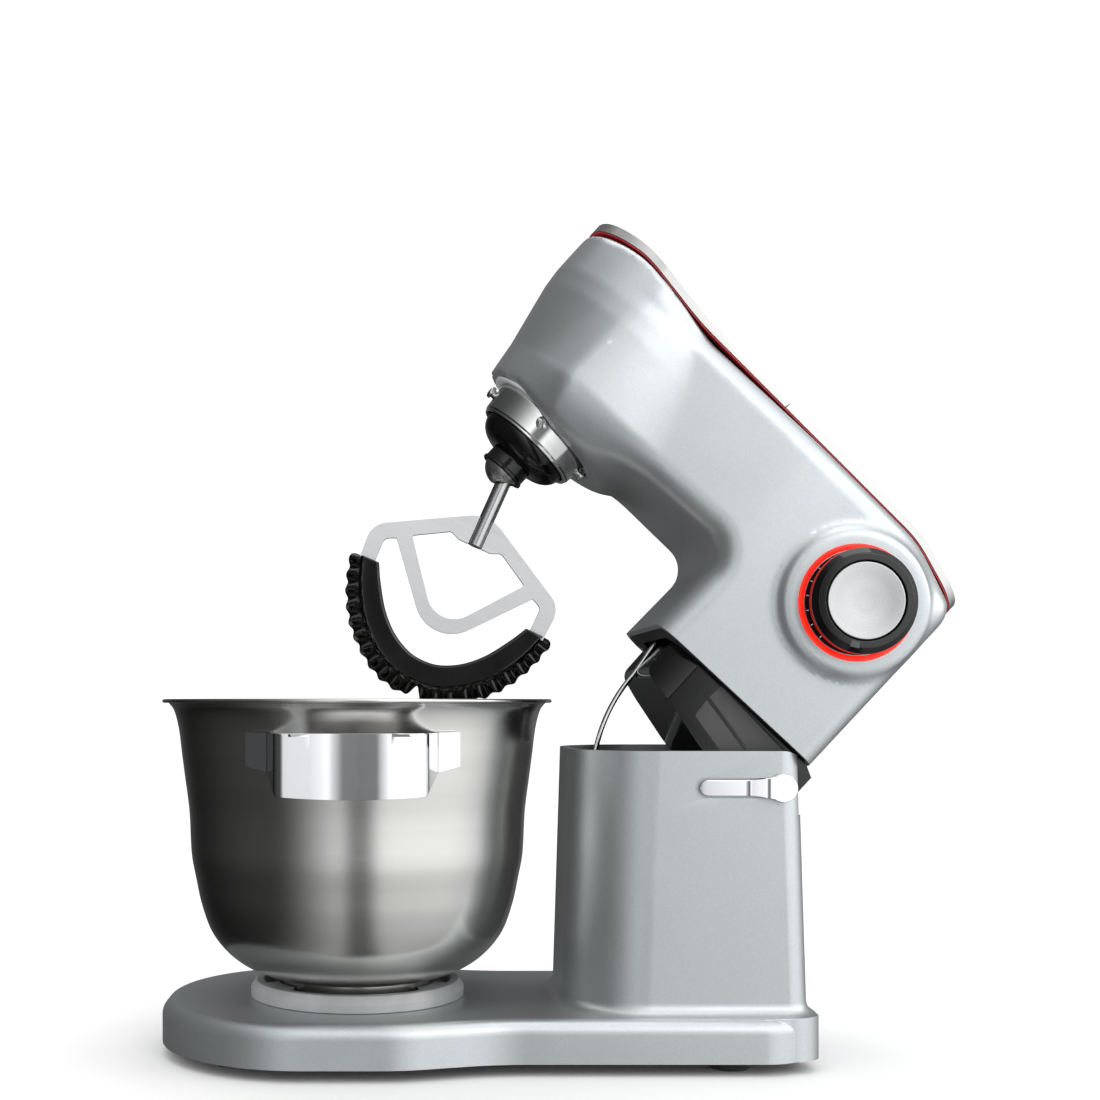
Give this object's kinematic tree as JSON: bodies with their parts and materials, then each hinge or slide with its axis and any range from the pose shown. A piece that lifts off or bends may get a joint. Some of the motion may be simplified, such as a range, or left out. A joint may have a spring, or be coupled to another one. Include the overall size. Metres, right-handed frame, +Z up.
{
  "type": "stand mixer",
  "caption": "Countertop stand mixer with a tilting head on a column, a planetary drive with a slanted scraper tool, a side speed knob and a steel bowl that twists into the base.",
  "frame": {"origin": "middle of the bounding box in X and Y, on the worktop plane under the rubber feet", "axes": "+Z up; +X from the bowl towards the column and hinge; -Y is the side with the speed knob, release lever and bowl handle"},
  "size_m": [0.4476, 0.2396, 0.4753],
  "materials": {
    "silver_paint": "satin silver paint",
    "brushed_steel": "fine brushed",
    "chrome": "mirror polish",
    "cast_aluminium": "satin",
    "black_gloss": "gloss",
    "black_plastic": "fine texture",
    "grey_plastic": "satin",
    "red_trim": "gloss",
    "red_lamp": "lit translucent",
    "rubber": "matt",
    "black_silicone": "gloss",
    "brass": "turned",
    "machined_steel": "turned and ground",
    "circuit_green": "solder mask"
  },
  "bodies": {
    "base": {"base_shell": "silver_paint", "base_plate": "black_plastic", "base_screw_1": "machined_steel", "base_screw_2": "machined_steel", "base_screw_3": "machined_steel", "base_screw_4": "machined_steel", "foot_front_near": "rubber", "foot_front_far": "rubber", "foot_rear_near": "rubber", "foot_rear_far": "rubber", "bowl_seat": "grey_plastic", "well_liner": "black_plastic", "hinge_bush_near": "brass", "hinge_bush_far": "brass", "hinge_pin_near": "machined_steel", "hinge_pin_far": "machined_steel", "cord_gland": "rubber"},
    "release_lever": {"release_lever": "chrome", "lever_shaft": "machined_steel", "latch_cam": "machined_steel"},
    "bowl": {"bowl": "brushed_steel", "bowl_foot_ring": "brushed_steel", "bowl_handle": "chrome"},
    "head": {"head_shell": "silver_paint", "trim_line": "red_trim", "head_shroud": "black_gloss", "hinge_yoke": "machined_steel", "lift_spring": "machined_steel", "chin_plate": "black_plastic", "arc_rod": "chrome", "front_outlet": "grey_plastic", "rear_outlet": "grey_plastic", "motor_can": "machined_steel", "gearbox_plate": "cast_aluminium", "carrier_bearing": "machined_steel", "drive_belt": "rubber", "control_board": "circuit_green", "skirt_ring": "grey_plastic", "drive_ring": "chrome", "ring_gear": "machined_steel", "knob_boss": "silver_paint", "lamp_ring": "red_lamp", "dial_window": "black_gloss"},
    "front_cover": {"front_cover": "brushed_steel"},
    "rear_cover": {"rear_cover": "brushed_steel"},
    "motor_rotor": {"motor_shaft": "machined_steel", "motor_pulley": "cast_aluminium"},
    "speed_knob": {"speed_knob": "black_gloss", "knob_cap": "brushed_steel", "knob_shaft": "machined_steel"},
    "drive_carrier": {"planet_dome": "black_gloss", "hub_ring": "black_gloss", "tool_cup": "cast_aluminium", "carrier_shaft": "machined_steel", "carrier_pulley": "cast_aluminium"},
    "tool_spindle": {"tool_spindle": "machined_steel", "planet_pinion": "brass"},
    "mixing_tool": {"tool_shaft": "machined_steel", "whisk_frame": "cast_aluminium", "silicone_wiper": "black_silicone"}
  },
  "joints": [
    {"name": "head_tilt", "type": "hinge", "parent": "base", "child": "head", "pos_m": [0.12061, 0.00675, 0.1533], "axis": [0, 1, 0], "range_deg": [-43, 0], "stiffness_Nm_per_rad": 4, "springref_deg": 28.65},
    {"name": "lever_turn", "type": "hinge", "parent": "base", "child": "release_lever", "pos_m": [0.12061, -0.05925, 0.1533], "axis": [0, 1, 0], "range_deg": [-30, 0], "stiffness_Nm_per_rad": 0.15, "springref_deg": 6.88},
    {"name": "bowl_turn", "type": "hinge", "parent": "base", "child": "bowl", "pos_m": [-0.11079, 0.00675, 0.04], "axis": [0, 0, 1], "range_deg": [0, 30]},
    {"name": "front_cover_lift", "type": "slide", "parent": "head", "child": "front_cover", "axis": [0.682, 0, 0.7314], "range_m": [0, 0.012]},
    {"name": "rear_cover_lift", "type": "slide", "parent": "head", "child": "rear_cover", "axis": [0.682, 0, 0.7314], "range_m": [0, 0.012]},
    {"name": "knob_turn", "type": "hinge", "parent": "head", "child": "speed_knob", "pos_m": [0.16013, -0.05925, 0.25345], "axis": [0, 1, 0], "range_deg": [-30, 240]},
    {"name": "carrier_spin", "type": "hinge", "parent": "head", "child": "drive_carrier", "pos_m": [0.00096, 0.00675, 0.36428], "axis": [0.682, 0, 0.7314], "continuous": true},
    {"name": "rotor_spin", "type": "hinge", "parent": "head", "child": "motor_rotor", "pos_m": [0.10386, 0.00675, 0.21363], "axis": [0.682, 0, 0.7314], "continuous": true},
    {"name": "spindle_spin", "type": "hinge", "parent": "drive_carrier", "child": "tool_spindle", "pos_m": [-0.0248, 0.00675, 0.32992], "axis": [0.4099, 0, 0.9121], "continuous": true},
    {"name": "tool_pull", "type": "slide", "parent": "tool_spindle", "child": "mixing_tool", "axis": [-0.4099, 0, -0.9121], "range_m": [0, 0.02]}
  ],
  "couplings": [
    {"joint": "rotor_spin", "follows": "carrier_spin", "ratio": 3.6},
    {"joint": "spindle_spin", "follows": "carrier_spin", "ratio": -2.84}
  ]
}
